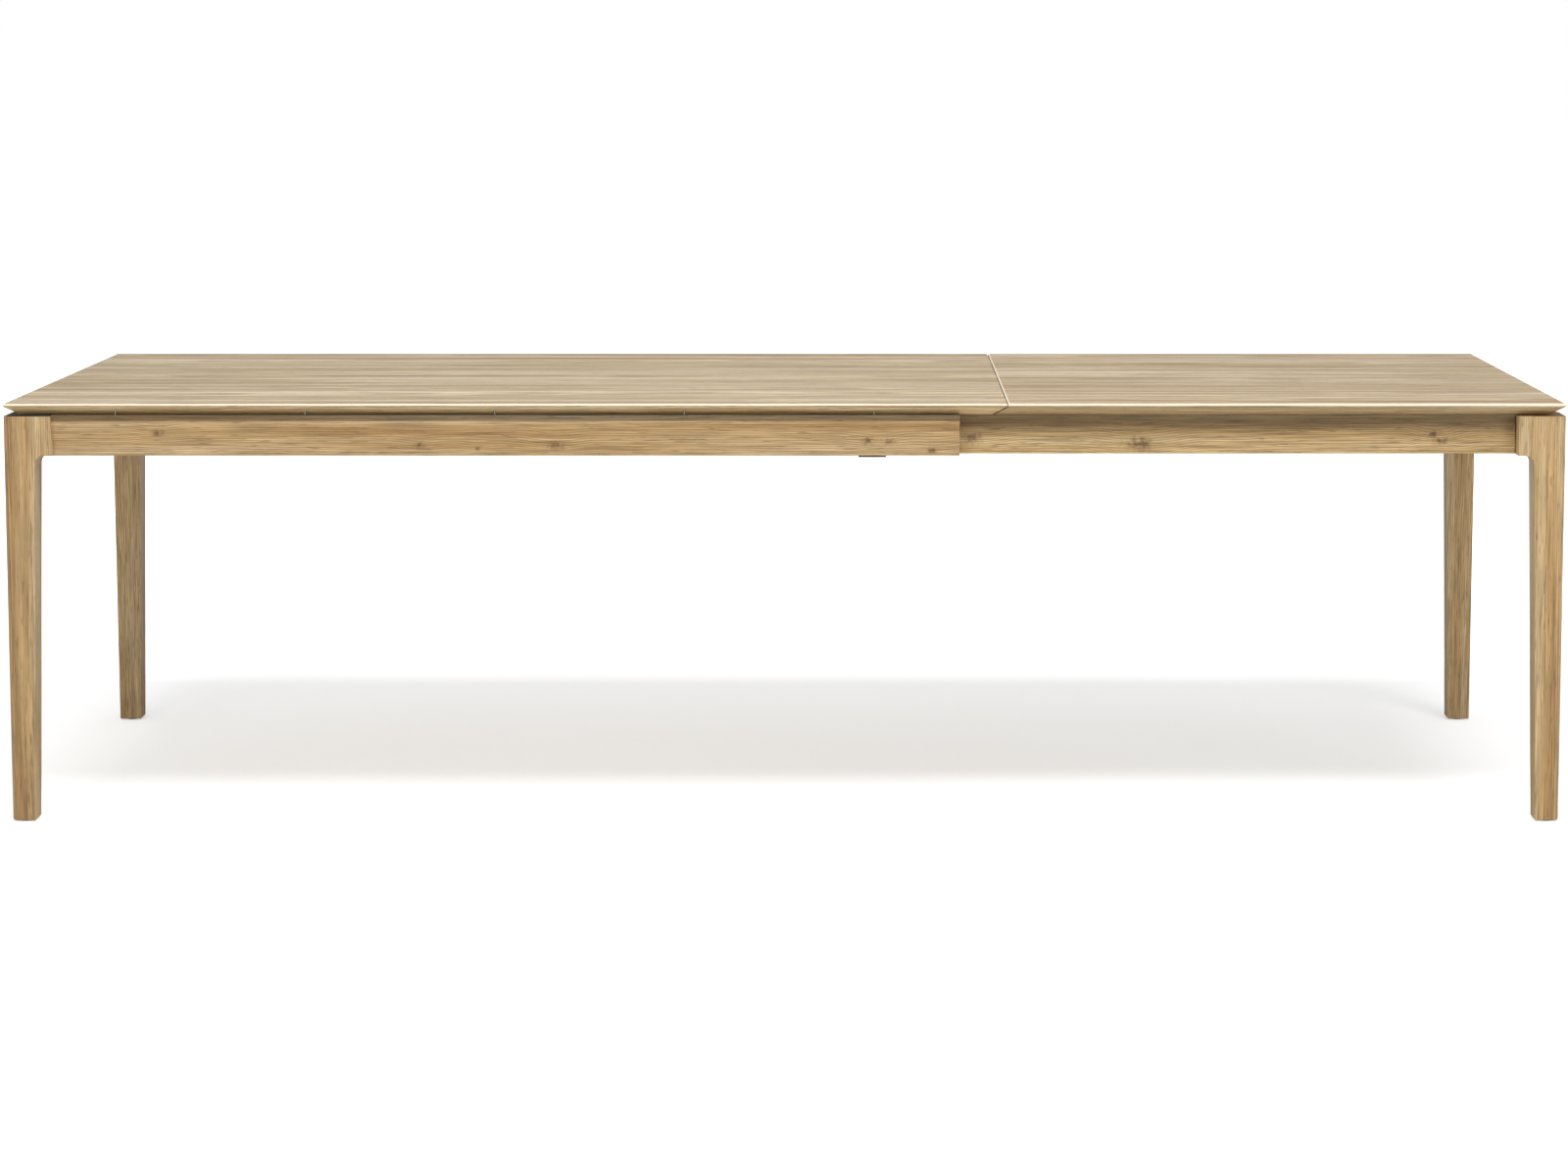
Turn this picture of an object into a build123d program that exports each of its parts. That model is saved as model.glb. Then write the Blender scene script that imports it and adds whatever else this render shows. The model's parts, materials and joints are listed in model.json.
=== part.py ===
from build123d import *
import os

# Extendable dining table, shown open. Millimetres, +Z up, +X along the table.
# The origin is on the floor under the middle of the open table.

# ---- overall sizes ----
length_open = 2800.0
width = 1000.0
height = 760.0
travel = 1000.0                 # how far the end frame pulls out
length_closed = length_open - travel

x_left = -length_open / 2       # outer faces of the left legs
x_right = length_open / 2       # outer faces of the right legs
x_dock = x_left + length_closed  # where the right legs' outer faces stop when closed
y_face = width / 2              # outer faces of the legs, front and back

# ---- table panels ----
panel_thickness = 21.0
panel_inset = 1.5               # panel edges stand this far inside the legs' outer faces
lip_height = 5.0                # upright part of the panel edge
bevel_run = 25.0                # under-bevel, measured inwards
seam_gap = 1.8
arris = 1.0                     # rounding of the panel's edges
z_under = height - panel_thickness
clearance = 0.3                 # between pieces that move past each other
buffer_thickness = 0.15         # the leaf's felt dots, pressed flat

# ---- legs ----
leg_foot = 44.0
leg_neck = 57.5                 # shaft just under the shoulder
leg_block = 86.0                # shoulder block, out to the rail joint
leg_rake = 4.0                  # slope of the fixed legs' rail joint
leg_top_gap = 2.0               # shadow gap between leg and panel
leg_corner = 15.0               # outermost upright corner
leg_edge = 2.0                  # every other long edge
shoulder_radius = 17.5
foot_chamfer = 1.5
z_leg_top = z_under - leg_top_gap
glide_thickness = 2.5
glide_radius = 14.0

# ---- rails of the frame ----
z_rail = 666.0                  # lower edge of the outer rails and of the shoulders
rail_edge = 1.2
outer_recess = 7.0              # outer rails stand back from the legs' faces
outer_thickness = 20.0
inner_recess = 29.0
inner_thickness = 22.0
inner_lift = 1.2                # inner rails run this much higher than the outer ones
inner_overlap = 600.0           # inner rails still inside the outer ones when open
closing_gap = 0.5               # left between the outer rails and the right legs when closed
joint_shadow = 2.0              # groove between inner rail and leg
x_outer_end = x_dock - leg_block - closing_gap
x_inner_end = x_right - leg_block - joint_shadow
x_inner_start = x_outer_end - inner_overlap
y_outer = y_face - outer_recess
y_inner = y_face - inner_recess
y_inner_inside = y_inner - inner_thickness
z_inner_top = z_under - clearance

# ---- ties, runners and fittings ----
tie_width = 50.0
tie_thickness = 3.0
x_tie = x_left + 1557.0
cross_height = 44.0
cross_thickness = 22.0
z_cross_top = z_rail + inner_lift + cross_height
runner_width = 18.0
runner_height = 22.0
runner_wall = 2.0
runner_setback = 1.0            # from the inner rails' inner faces
shoe_length = 50.0
stop_length = 8.0
x_shoe = x_inner_start + 5.0
x_runner_start = x_shoe - travel - stop_length - clearance
x_runner_end = x_shoe + shoe_length + stop_length + clearance
channel_width = 30.0            # stiffening channels let into the panels
channel_height = 10.0
channel_wall = 2.0
channel_length = 800.0
tongue_width = 24.0
tongue_thickness = 3.0
tongue_reach = 72.0
tongue_tail = 30.0
x_tongue = x_left + 1740.0
y_tongue = 300.0
notch_depth = 6.0
notch_width = 56.0
plate_size = 100.0
plate_inset = 8.0
block_reach = 64.0              # corner blocks, along each rail
bolt_radius = 4.0
hole_play = 0.15                # radial room round screws, bolts and dowels
dowel_radius = 5.0
dowel_length = 40.0


# ---- small shared shapes ----

def bar(x0, x1, y0, y1, z0, z1, edge=0.0):
    """A straight bar between two corners, its long edges rounded."""
    block = Box(abs(x1 - x0), abs(y1 - y0), abs(z1 - z0))
    shape = Pos((x0 + x1) / 2, (y0 + y1) / 2, (z0 + z1) / 2) * block
    if edge:
        along = Axis.X if abs(x1 - x0) > abs(y1 - y0) else Axis.Y
        shape = fillet(shape.edges().filter_by(along), edge)
    return shape


def peg(x, y, z0, z1, radius):
    """An upright round pin from z0 to z1."""
    return Pos(x, y, (z0 + z1) / 2) * Cylinder(radius, abs(z1 - z0))


def peg_x(x0, x1, y, z, radius):
    """A round pin lying along the table."""
    return Pos((x0 + x1) / 2, y, z) * Rot(0, 90, 0) * Cylinder(radius, abs(x1 - x0))


def peg_y(x, y0, y1, z, radius):
    """A round pin lying across the table."""
    return Pos(x, (y0 + y1) / 2, z) * Rot(90, 0, 0) * Cylinder(radius, abs(y1 - y0))


def screw_up(x, y, z_seat, grip, radius=2.0, head_radius=4.0, head_height=2.4):
    """A pan-head screw driven upwards, its head under z_seat."""
    head = peg(x, y, z_seat - head_height, z_seat, head_radius)
    head = fillet(head.edges().sort_by(Axis.Z)[:1], head_height * 0.45)
    return head + peg(x, y, z_seat, z_seat + grip, radius)


def sunk_screw_up(x, y, z_face, sink, grip, radius=2.0):
    """A countersunk screw driven upwards, flush with z_face."""
    cone = Pos(x, y, z_face + sink / 2) * Cone(radius + sink, radius, sink)
    return cone + peg(x, y, z_face + sink, z_face + grip, radius)


def sides():
    """Front then back: the name's ending and the sign of y."""
    return (("front", -1), ("back", 1))


def save(shape, name):
    export_step(shape, "parts/" + name + ".step")


# ---- panels ----

def edge_profile(low, high, left_bevel=1):
    """Section of a panel: upright lip above an under-bevel; -1 makes the left one a counter-bevel."""
    z_lip = height - lip_height
    return Polyline((low, height), (high, height), (high, z_lip), (high - bevel_run, z_under),
                    (low + left_bevel * bevel_run, z_under), (low, z_lip), close=True)


def panel(low, high, left_bevel=1):
    """A board panel with mitred bevels; its edges are eased, apart from a counter-bevelled end."""
    half = y_face - panel_inset
    lengthways = extrude(make_face(Plane.XZ * edge_profile(low, high, left_bevel)), width / 2, both=True)
    across = extrude(make_face(Plane.YZ * edge_profile(-half, half)), high - low, both=True)
    shape = lengthways & Pos((low + high) / 2, 0, 0) * across
    eased = [edge for edge in shape.edges() if (edge @ 0.5).Z > z_under + clearance]
    if left_bevel < 0:
        eased = [edge for edge in eased if (edge @ 0.5).X > low + 1.0 or (edge @ 0.5).Z > height - 1.0]
    return fillet(eased, arris)


def channel_places(low, high, count):
    step = (high - low) / count
    return [low + step * (n + 0.5) for n in range(count)]


x_main_low = x_left + panel_inset
x_main_high = x_dock - panel_inset
x_leaf_low = x_main_high + seam_gap
x_leaf_high = x_right - panel_inset
main_channels = channel_places(x_main_low + 150.0, x_main_high - 150.0, 3)
leaf_channels = channel_places(x_leaf_low, x_leaf_high, 2)
channel_screw_y = (-340.0, 0.0, 340.0)
channel_screw_grip = 7.0


def channel_grooves(places):
    grooves = []
    for x in places:
        half = channel_width / 2 + clearance
        reach = channel_length / 2 + 1.0
        grooves.append(bar(x - half, x + half, -reach, reach, z_under - 1.0, z_under + channel_height))
        for y in channel_screw_y:
            z_pilot = z_under + channel_height + channel_screw_grip + 0.5
            grooves.append(peg(x, y, z_under, z_pilot, 2.0 + hole_play))
    return grooves


def steel_channels(places):
    """Upturned channels let in flush with the panel's underside."""
    pieces = []
    for x in places:
        half = channel_width / 2
        reach = channel_length / 2
        outer = bar(x - half, x + half, -reach, reach, z_under, z_under + channel_height)
        inside = half - channel_wall
        z_web = z_under + channel_height - channel_wall
        hollow = bar(x - inside, x + inside, -reach - 1.0, reach + 1.0, z_under - 1.0, z_web)
        z_out = z_web + channel_wall + 1.0
        holes = [peg(x, y, z_web - 1.0, z_out, 2.0 + hole_play) for y in channel_screw_y]
        pieces.append(outer - hollow - holes)
    return Compound(children=pieces)


def channel_screws(places):
    z_web = z_under + channel_height - channel_wall
    return Compound(children=[screw_up(x, y, z_web, channel_wall + channel_screw_grip)
                              for x in places for y in channel_screw_y])


def main_top():
    shape = panel(x_main_low, x_main_high) - channel_grooves(main_channels)
    return shape - [peg(x, y, z_under - 1.0, z_pilot, r) for x, y, z_pilot, r in top_pilots()]


def extension_leaf():
    return panel(x_leaf_low, x_leaf_high, left_bevel=-1) - channel_grooves(leaf_channels)


# ---- fasteners that bite into the main top: place, top of the pilot hole, radius ----

rail_screw_x = [x_left + 200.0 + 340.0 * n for n in range(5)]
rail_screw_top = height - 8.0
runner_screw_step = (x_runner_end - x_runner_start - 180.0) / 3
runner_screw_x = [x_runner_start + 90.0 + runner_screw_step * n for n in range(4)]
y_runner = y_inner_inside - runner_setback - runner_width / 2
clip_y = (-300.0, -100.0, 100.0, 300.0)
x_clip = x_left + outer_recess + outer_thickness + 22.0
plate_screws = ((97.0, 40.0), (40.0, 97.0), (97.0, 97.0), (72.0, 72.0))
short_grip = 12.0
clip_gauge = 2.0


def top_pilots():
    places = []
    z_short = z_under + short_grip
    for _, s in sides():
        y_rail = s * (y_outer - outer_thickness / 2)
        places += [(x, y_rail, rail_screw_top, 2.5 + hole_play) for x in rail_screw_x]
        places += [(x, s * y_runner, z_short, 2.0 + hole_play) for x in runner_screw_x]
        places += [(x_left + u, s * (y_face - v), z_short, 2.0 + hole_play) for u, v in plate_screws]
        places.append((x_tongue, s * y_tongue, z_short, 3.0 + hole_play))
    places += [(x_clip, y, z_short, 2.0 + hole_play) for y in clip_y]
    return places


# ---- legs ----

def leg_outline(rake):
    """One face of a leg, its outer edge at 0: tapered shaft, round shoulder, block for the rail."""
    slope = (leg_neck - leg_foot) / (z_rail - glide_thickness)
    z_tangent = z_rail - shoulder_radius
    neck = leg_foot + slope * (z_tangent - glide_thickness)
    x_tangent = neck + shoulder_radius
    points = Polyline((x_tangent, z_rail), (leg_block + rake, z_rail), (leg_block, z_leg_top),
                      (0, z_leg_top), (0, glide_thickness), (leg_foot, glide_thickness),
                      (neck, z_tangent))
    shoulder = RadiusArc((neck, z_tangent), (x_tangent, z_rail), shoulder_radius)
    return make_face([points, shoulder])


def leg(rake=0.0):
    """A leg with its outer corner at the origin, its shoulders towards +X and +Y."""
    outline = leg_outline(rake)
    facing_y = Plane.XZ * outline
    facing_x = Plane.YZ * leg_outline(0.0)
    block = extrude(facing_y, -leg_block) & extrude(facing_x, leg_block + rake)
    inner = leg_neck
    shape = block - bar(inner, leg_block * 2, inner, leg_block * 2, 0, height)
    outer_corner = shape.edges().filter_by(Axis.Z).group_by(Axis.X)[0].sort_by(Axis.Y)[:1]
    shape = fillet(outer_corner, leg_corner)
    shape = chamfer(shape.faces().sort_by(Axis.Z)[0].edges(), foot_chamfer)
    return shape


def soften_leg(shape):
    """Rounds the two long edges that run from the foot, round the shoulder and to the rail joints."""
    at_front = shape.edges().filter_by_position(Axis.Y, -0.01, 0.01)
    at_side = shape.edges().filter_by_position(Axis.X, -0.01, 0.01)
    chains = []
    for group, axis in ((at_front, Axis.X), (at_side, Axis.Y)):
        for edge in group:
            middle = edge @ 0.5
            along = middle.X if axis == Axis.X else middle.Y
            runs_below_block = foot_chamfer + glide_thickness + 1.0 < middle.Z < z_rail + 0.01
            if runs_below_block and along > leg_corner + 5.0:
                chains.append(edge)
    return fillet(chains, leg_edge)


def place_leg(shape, x, y):
    """Stands a leg on its corner of the table; the mirrors keep its shoulders inwards."""
    if x > 0:
        shape = mirror(shape, Plane.YZ)
    if y > 0:
        shape = mirror(shape, Plane.XZ)
    return Pos(x, y, 0) * shape


def foot_centre(x, y):
    half = leg_foot / 2
    return (x + half if x < 0 else x - half), (y + half if y < 0 else y - half)


def foot_glide(x, y):
    """A nylon disc with a rounded rim and a stem pressed into the foot."""
    cx, cy = foot_centre(x, y)
    disc = peg(cx, cy, 0, glide_thickness, glide_radius)
    disc = fillet(disc.edges().sort_by(Axis.Z)[:1], 1.0)
    return disc + peg(cx, cy, glide_thickness, glide_thickness + 14.0, 3.0)


def glide_socket(x, y):
    cx, cy = foot_centre(x, y)
    return peg(cx, cy, 0, glide_thickness + 14.5, 3.0 + hole_play)


# ---- dowels between rails and legs ----

dowel_z = (z_rail + 20.0, z_rail + 50.0)


def dowels_x(x, y):
    return [peg_x(x - dowel_length / 2, x + dowel_length / 2, y, z, dowel_radius) for z in dowel_z]


def dowels_y(x, y):
    return [peg_y(x, y - dowel_length / 2, y + dowel_length / 2, z, dowel_radius) for z in dowel_z]


def sockets(pins):
    """The pins' own shapes a little fatter and longer, to cut their holes."""
    cut = []
    for pin in pins:
        box = pin.bounding_box()
        middle = box.center()
        radius = dowel_radius + hole_play
        if box.size.X > box.size.Y:
            cut.append(peg_x(box.min.X - 1.0, box.max.X + 1.0, middle.Y, middle.Z, radius))
        else:
            cut.append(peg_y(middle.X, box.min.Y - 1.0, box.max.Y + 1.0, middle.Z, radius))
    return cut


def left_dowels(s):
    y_joint = y_face - leg_block
    long_rail = dowels_x(x_left + leg_block + leg_rake / 2, s * (y_outer - outer_thickness / 2))
    end_rail = dowels_y(x_left + outer_recess + outer_thickness / 2, s * y_joint)
    return long_rail + end_rail


def right_dowels(s):
    y_joint = y_face - leg_block
    long_rail = dowels_x(x_right - leg_block - joint_shadow / 2, s * (y_inner - inner_thickness / 2))
    end_rail = dowels_y(x_right - outer_recess - outer_thickness / 2, s * y_joint)
    return long_rail + end_rail


# ---- leg bolts and their seats ----

z_corner_bolt = z_rail + 34.0
washer_radius = 11.0
washer_thickness = 1.5
nut_radius = 7.5
nut_height = 6.5


def plate_bolt_places(s):
    """The two bolts that hang a fixed leg from its plate."""
    return [(x_left + 28.0, s * (y_face - 28.0)), (x_left + 42.0, s * (y_face - 42.0))]


def plate_bolts(s):
    pieces = []
    for x, y in plate_bolt_places(s):
        head = Pos(x, y, z_leg_top + leg_top_gap / 2) * Cylinder(bolt_radius + 3.0, leg_top_gap)
        pieces.append(head + peg(x, y, z_leg_top - 60.0, z_leg_top, bolt_radius))
    return pieces


def corner_bolt(s, grow=0.0, length=145.0):
    """A bolt on the diagonal of a moving corner, through the corner block into the leg."""
    start = 30.0
    middle = start + length / 2
    turn = Rot(0, 0, -135 * s)
    at = Pos(x_right, s * y_face, z_corner_bolt) * turn * Pos(middle, 0, 0) * Rot(0, 90, 0)
    return at * Cylinder(bolt_radius + grow, length)


def corner_nut(s):
    """Washer and hexagon nut on the corner bolt, against the block's flat."""
    turn = Rot(0, 0, -135 * s)
    at = Pos(x_right, s * y_face, z_corner_bolt) * turn
    bore = bolt_radius + hole_play
    disc = Cylinder(washer_radius, washer_thickness) - Cylinder(bore, washer_thickness)
    washer = at * Pos(corner_flat + washer_thickness / 2, 0, 0) * Rot(0, 90, 0) * disc
    hexagon = extrude(RegularPolygon(nut_radius, 6), nut_height)
    hexagon -= Pos(0, 0, nut_height / 2) * Cylinder(bore, nut_height)
    nut = at * Pos(corner_flat + washer_thickness, 0, 0) * Rot(0, 90, 0) * hexagon
    return [washer, nut]


block_far = leg_block + joint_shadow + block_reach
block_near = inner_recess + inner_thickness
block_side = outer_recess + outer_thickness
# the flat for the nut: there the distances from both outer faces add up to this
flat_sum = block_far + block_near + 25.0
corner_flat = flat_sum / 2 ** 0.5


def corner_block(s):
    """Hardwood block across a moving corner, from the end rail to the inner long rail."""
    wing = leg_block + joint_shadow
    inwards = [(block_side, wing), (block_side, block_far), (flat_sum - block_far, block_far),
               (block_far, flat_sum - block_far), (block_far, block_near), (wing, block_near),
               (wing, wing)]
    face = make_face(Polyline(*[(x_right - u, s * (y_face - v)) for u, v in inwards], close=True))
    shape = extrude(Pos(0, 0, z_rail + 14.0) * face, 40.0, dir=(0, 0, 1))
    return shape - corner_bolt(s, grow=hole_play * 2)


# ---- building each piece ----

def outer_rail(s):
    y0 = s * y_outer
    y1 = s * (y_outer - outer_thickness)
    x0 = x_left + leg_block
    blank = bar(x0, x_outer_end, y0, y1, z_rail, z_under, rail_edge)
    far = x0 - 50.0
    low = z_rail - 5.0
    joint = Polyline((x0 + leg_rake, low), (x0 + leg_rake, z_rail), (x0, z_leg_top), (x0, height),
                     (far, height), (far, low), close=True)
    blank -= extrude(make_face(Plane.XZ * joint), width, both=True)
    y_mid = s * (y_outer - outer_thickness / 2)
    bores = [peg(x, y_mid, z_rail, z_under, 2.5 + hole_play) for x in rail_screw_x]
    bores += [peg(x, y_mid, z_rail - 1.0, z_rail + 36.0, 5.0 + hole_play) for x in rail_screw_x]
    bores += [peg(x, s * y, z_rail - 1.0, z_rail + 20.0, 2.0 + hole_play) for x, y in tie_screw_places()]
    return blank - bores - sockets(left_dowels(s))


def rail_screws(s):
    y = s * (y_outer - outer_thickness / 2)
    pieces = []
    for x in rail_screw_x:
        head = peg(x, y, z_rail + 32.0, z_rail + 36.0, 4.6)
        pieces.append(head + peg(x, y, z_rail + 36.0, rail_screw_top - 0.5, 2.5))
    return pieces


def inner_rail(s):
    y0 = s * y_inner
    y1 = s * y_inner_inside
    shape = bar(x_inner_start, x_inner_end, y0, y1, z_rail + inner_lift, z_inner_top, rail_edge)
    holes = [peg_y(x, s * (y_inner_inside - 1.0), s * (y_inner_inside + 14.5), z, 2.0 + hole_play)
             for x, z in shoe_screw_places() + cross_screw_places()]
    return shape - holes - sockets(right_dowels(s))


def end_rail(side):
    """Short rail between the two legs of one end; side is -1 left, 1 right."""
    x0 = side * (x_right - outer_recess)
    x1 = side * (x_right - outer_recess - outer_thickness)
    half = y_face - leg_block
    z1 = z_under if side < 0 else z_under - clearance
    shape = bar(min(x0, x1), max(x0, x1), -half, half, z_rail, z1, rail_edge)
    for _, s in sides():
        shape -= sockets(left_dowels(s) if side < 0 else right_dowels(s))
        if side > 0:
            low = z_inner_top - notch_depth
            y_low = s * y_tongue - notch_width / 2
            shape -= bar(x1 - 1.0, x0 + 1.0, y_low, y_low + notch_width, low, height)
    if side < 0:
        slot = (x_clip - 26.0, x_clip - 17.0)
        shape -= [bar(*slot, y - 12.0, y + 12.0, z_under - 16.4, z_under - 13.6) for y in clip_y]
    return shape


def top_clip(y):
    """A Z-shaped steel clip: its toe in a slot of the end rail, its flange under the top."""
    toe = bar(x_clip - 25.0, x_clip - 10.0, y - 10.0, y + 10.0, z_under - 16.0, z_under - 14.0)
    web = bar(x_clip - 12.0, x_clip - 10.0, y - 10.0, y + 10.0, z_under - 16.0, z_under)
    flange = bar(x_clip - 12.0, x_clip + 12.0, y - 10.0, y + 10.0, z_under - clip_gauge, z_under)
    return toe + web + flange - peg(x_clip, y, z_under - 10.0, z_under + 1.0, 2.0 + hole_play)


def tie_screw_places():
    y = y_outer - outer_thickness / 2
    return [(x_tie - 14.0, y), (x_tie + 14.0, y)]


def tie_screws(s):
    return [sunk_screw_up(x, s * y, z_rail - tie_thickness, 2.2, 22.5) for x, y in tie_screw_places()]


def tie_bar():
    """Flat steel bar under both outer rails; it ties them and carries the inner rails."""
    reach = y_outer - 2.0
    x0 = x_tie - tie_width / 2
    shape = bar(x0, x0 + tie_width, -reach, reach, z_rail - tie_thickness, z_rail, 0.6)
    for x, y in tie_screw_places():
        for _, s in sides():
            shape -= Pos(x, s * y, z_rail - tie_thickness + 1.1) * Cone(4.2, 2.0 + hole_play, 2.2)
            shape -= peg(x, s * y, z_rail - tie_thickness, z_rail + 1.0, 2.0 + hole_play)
    return shape


def slip_pad(s):
    """Nylon pad on the tie bar, under an inner rail."""
    y = s * (y_inner - inner_thickness / 2)
    half = inner_thickness / 2
    return bar(x_tie - 20.0, x_tie + 20.0, y - half, y + half, z_rail, z_rail + inner_lift - clearance)


def guide_strip(s):
    """Thin nylon strip inside an outer rail's open end, beside the inner rail."""
    y0 = s * (y_outer - outer_thickness)
    y1 = s * (y_inner + clearance)
    return bar(x_outer_end - 80.0, x_outer_end - 20.0, y0, y1, z_rail + 12.0, z_under - 12.0)


def runner(s):
    """C-shaped rail under the main top, open towards the inner rail."""
    y_open = s * (y_inner_inside - runner_setback)
    y_back = s * (y_inner_inside - runner_setback - runner_width)
    z0 = z_under - runner_height
    outer = bar(x_runner_start, x_runner_end, y_open, y_back, z0, z_under)
    inside = bar(x_runner_start - 1.0, x_runner_end + 1.0, y_open + s, y_back + s * runner_wall,
                 z0 + runner_wall, z_under - runner_wall)
    y = s * y_runner
    z_web = z_under - runner_wall
    holes = [peg(x, y, z_web - 1.0, z_under + 1.0, 2.0 + hole_play) for x in runner_screw_x]
    access = [peg(x, y, z0 - 1.0, z0 + runner_wall + 1.0, 4.0) for x in runner_screw_x]
    return outer - inside - holes - access


def runner_screws(s):
    """Flat heads sunk in the runner's web, clear of the shoe."""
    z_tip = z_under + short_grip - 0.5
    return [peg(x, s * y_runner, z_under - runner_wall, z_tip, 2.0) for x in runner_screw_x]


def runner_stops(s):
    """Rubber blocks that fill each end of the runner."""
    y0 = s * (y_inner_inside - runner_setback - 1.0)
    y1 = s * (y_inner_inside - runner_setback - runner_width + runner_wall)
    z0 = z_under - runner_height + runner_wall
    z1 = z_under - runner_wall
    ends = ((x_runner_start, x_runner_start + stop_length), (x_runner_end - stop_length, x_runner_end))
    return [bar(a, b, y0, y1, z0, z1) for a, b in ends]


def shoe_screw_places():
    z = z_under - runner_height / 2
    return [(x_shoe + 12.0, z), (x_shoe + shoe_length - 12.0, z)]


def runner_shoe(s):
    """Nylon block screwed inside the inner rail's end, riding in the runner."""
    y0 = s * y_inner_inside
    y1 = s * (y_inner_inside - runner_setback - runner_width + runner_wall + 0.5)
    half = (runner_height - 2 * runner_wall) / 2 - clearance
    z = z_under - runner_height / 2
    shape = bar(x_shoe, x_shoe + shoe_length, y0, y1, z - half, z + half, 1.0)
    for x, zs in shoe_screw_places():
        shape -= peg_y(x, y0 + s, y1 - s, zs, 2.0 + hole_play)
        shape -= peg_y(x, y1 - s, y1 + s * 3.0, zs, 4.0 + hole_play)
    return shape


def shoe_screws(s):
    y_seat = s * (y_inner_inside - runner_setback - runner_width + runner_wall + 0.5 + 3.0)
    pieces = []
    for x, z in shoe_screw_places():
        head = peg_y(x, y_seat - s * 2.4, y_seat, z, 4.0)
        pieces.append(head + peg_y(x, y_seat, s * (y_inner_inside + 14.0), z, 2.0))
    return pieces


cross_x = (x_inner_start + 22.0, x_inner_start + 600.0)


def cross_rail(x):
    half = y_inner_inside
    return bar(x, x + cross_thickness, -half, half, z_rail + inner_lift, z_cross_top, rail_edge)


def cross_screw_places():
    return [(x + cross_thickness + 14.0, z_rail + inner_lift + 22.0) for x in cross_x]


def cross_brackets(s):
    """Steel angles that hold the cross rails to an inner rail."""
    pieces = []
    z0 = z_rail + inner_lift + 7.0
    z1 = z0 + 30.0
    for x in cross_x:
        face = x + cross_thickness
        along = bar(face, face + 28.0, s * y_inner_inside, s * (y_inner_inside - 2.0), z0, z1)
        across = bar(face, face + 2.0, s * y_inner_inside, s * (y_inner_inside - 28.0), z0, z1)
        angle = along + across
        y_far = s * (y_inner_inside + 1.0)
        angle -= peg_y(face + 14.0, y_far, s * (y_inner_inside - 3.0), z0 + 15.0, 2.0 + hole_play)
        pieces.append(angle)
    return pieces


def cross_screws(s):
    pieces = []
    seat = y_inner_inside - 2.0
    for x, z in cross_screw_places():
        head = peg_y(x, s * (seat - 2.4), s * seat, z, 4.0)
        pieces.append(head + peg_y(x, s * seat, s * (y_inner_inside + 14.0), z, 2.0))
    return pieces


def leg_plate(s):
    """Steel plate between a fixed leg's head and the main top."""
    x0 = x_left + plate_inset
    y0 = s * (y_face - plate_inset)
    y1 = s * (y_face - plate_inset - plate_size)
    shape = bar(x0, x0 + plate_size, y0, y1, z_leg_top, z_under)
    shape -= bar(x_left + leg_block - 1.0, x_left + 200.0, s * y_face, s * (y_outer - outer_thickness - 1.0),
                 z_leg_top - 1.0, height)
    shape -= bar(x_left, x_left + block_side + 1.0, s * (y_face - leg_block + 1.0), s * (y_face - 200.0),
                 z_leg_top - 1.0, height)
    for x, y in plate_bolt_places(s):
        shape -= peg(x, y, z_leg_top - 1.0, z_under + 1.0, bolt_radius + 3.0 + hole_play)
    for u, v in plate_screws:
        shape -= peg(x_left + u, s * (y_face - v), z_leg_top - 1.0, z_under + 1.0, 2.0 + hole_play)
    return shape


def plate_screw_set(s):
    grip = leg_top_gap + short_grip - 0.5
    return [screw_up(x_left + u, s * (y_face - v), z_leg_top, grip) for u, v in plate_screws]


def tongue(s):
    """Steel tongue that swings under the leaf's lip; its bent tail is the finger grip."""
    z1 = z_under - clearance
    z0 = z1 - tongue_thickness
    half = tongue_width / 2
    arm = bar(0, tongue_reach - half, -half, half, z0, z1) + peg(tongue_reach - half, 0, z0, z1, half)
    tail = bar(-tongue_tail, 0, -half, half, z0, z1)
    grip = bar(-tongue_tail, -tongue_tail + tongue_thickness, -half, half, z0 - 12.0, z0)
    shape = arm + tail + grip - peg(0, 0, z0 - 1.0, z1 + 1.0, 3.0 + hole_play)
    return Pos(x_tongue, s * y_tongue, 0) * shape


def tongue_pivot(s):
    """Shoulder screw on which a tongue turns."""
    z1 = z_under - clearance - tongue_thickness - clearance
    head = peg(x_tongue, s * y_tongue, z1 - 2.5, z1, 6.0)
    return head + peg(x_tongue, s * y_tongue, z1, z_under + short_grip - 0.5, 3.0)


def leaf_buffers():
    """Thin felt dots under the leaf, over the inner rails."""
    y = y_inner - inner_thickness / 2
    places = [(x_leaf_low + 120.0 + 250.0 * n, s * y) for n in range(4) for _, s in sides()]
    return [peg(x, y, z_under - buffer_thickness, z_under, 8.0) for x, y in places]


# ---- put the table together ----

def save_group(pieces, name):
    """Identical fasteners share one file, as separate solids."""
    export_step(Compound(children=list(pieces)), "parts/" + name + ".step")


def both_sides(make):
    """The pieces that make(s) gives for the front and for the back."""
    return [piece for _, s in sides() for piece in make(s)]


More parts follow.
